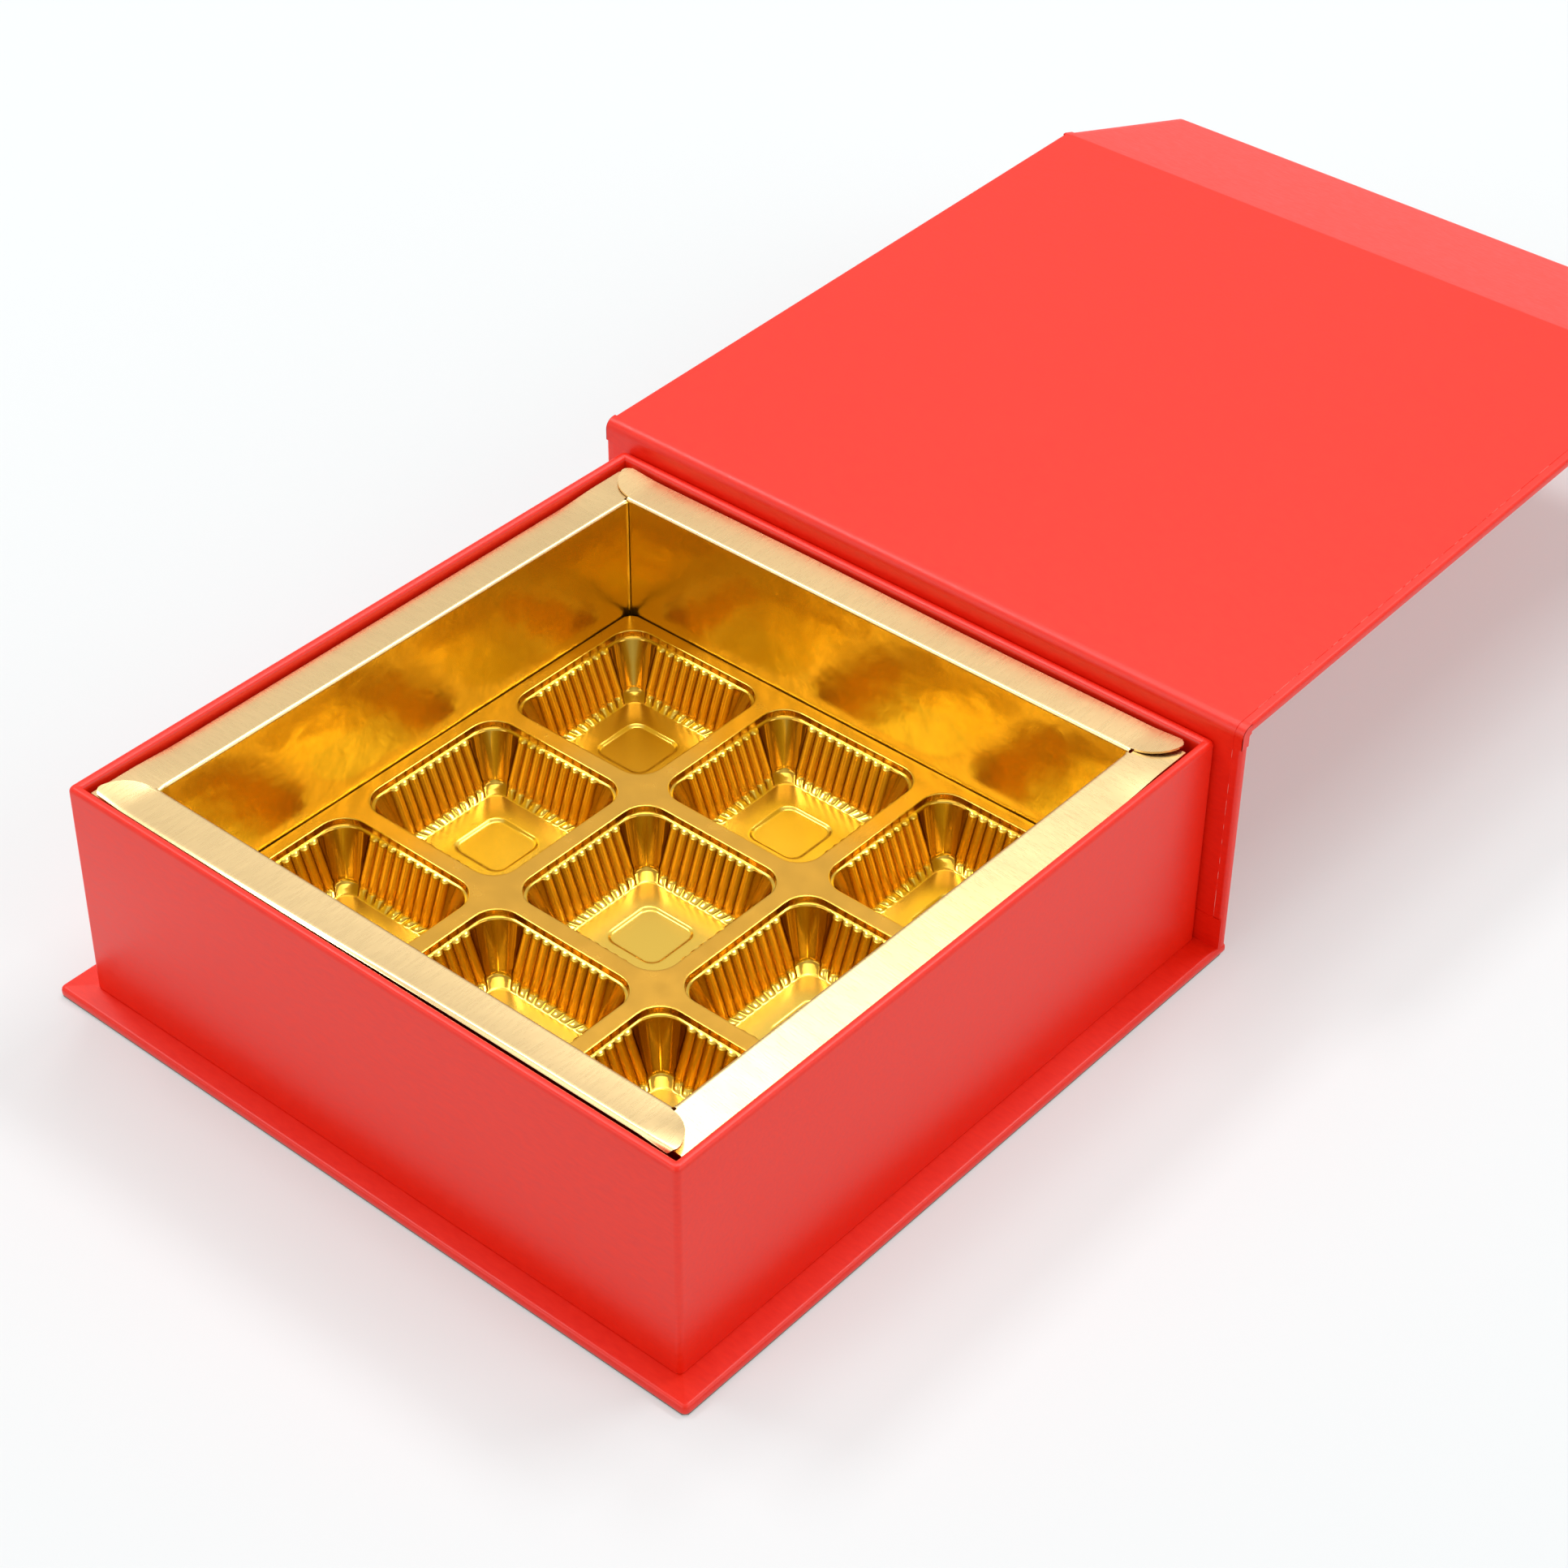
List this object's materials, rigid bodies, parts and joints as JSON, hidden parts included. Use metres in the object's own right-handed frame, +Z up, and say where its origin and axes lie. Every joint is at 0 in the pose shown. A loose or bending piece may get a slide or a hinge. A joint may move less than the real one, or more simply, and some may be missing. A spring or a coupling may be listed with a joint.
{
  "type": "chocolate box",
  "caption": "Square rigid paper-covered gift box for chocolates, with a book style lid, a closing flap, a gold card collar and a formed gold insert with fluted cavities.",
  "frame": {"origin": "underside of the base panel, below the middle of the tray", "axes": "+Z up, +Y from the front of the box towards its fold and open lid, +X to the right along the lid fold"},
  "size_m": [0.161, 0.3626, 0.0599],
  "materials": {
    "greyboard": "matte grey board",
    "red_paper": "red art paper with satin lamination",
    "stay_tape": "kraft paper tape",
    "magnet": "nickel plated",
    "gold_card": "gold foil laminated card, fine brushed grain",
    "gold_film": "metallised formed plastic sheet"
  },
  "bodies": {
    "box": {"base_board": "greyboard", "base_wrap": "red_paper", "spine_board": "greyboard", "spine_wrap": "red_paper", "spine_liner": "red_paper", "spine_foot_strip": "red_paper", "lid_fold_outer": "red_paper", "lid_fold_inner": "red_paper", "tray_floor_board": "greyboard", "tray_front_board": "greyboard", "tray_back_board": "greyboard", "tray_left_board": "greyboard", "tray_right_board": "greyboard", "tray_corner_stays": "stay_tape", "tray_wrap": "red_paper", "tray_floor_paper": "red_paper", "wall_magnets": "magnet"},
    "lid": {"lid_board": "greyboard", "lid_wrap": "red_paper", "lid_liner": "red_paper", "flap_fold_outer": "red_paper", "flap_fold_inner": "red_paper"},
    "flap": {"flap_board": "greyboard", "flap_wrap": "red_paper", "flap_liner": "red_paper", "flap_magnets": "magnet"},
    "collar": {"collar_front": "gold_card", "collar_back": "gold_card", "collar_left": "gold_card", "collar_right": "gold_card", "collar_seam_panel": "gold_card"},
    "insert": {"cavity_insert": "gold_film"}
  },
  "joints": [
    {"name": "lid_hinge", "type": "hinge", "parent": "box", "child": "lid", "pos_m": [0, 0.078, 0.0535], "axis": [1, 0, 0], "range_deg": [-10, 178.52], "deforming": ["lid_fold_outer", "lid_fold_inner"]},
    {"name": "flap_hinge", "type": "hinge", "parent": "lid", "child": "flap", "pos_m": [0, 0.23385, 0.05753], "axis": [1, 0, 0], "range_deg": [-6, 108.7], "deforming": ["flap_fold_outer", "flap_fold_inner"]},
    {"name": "collar_lift", "type": "slide", "parent": "box", "child": "collar", "axis": [0, 0, 1], "range_m": [0, 0.06]},
    {"name": "insert_lift", "type": "slide", "parent": "box", "child": "insert", "axis": [0, 0, 1], "range_m": [0, 0.06]}
  ]
}
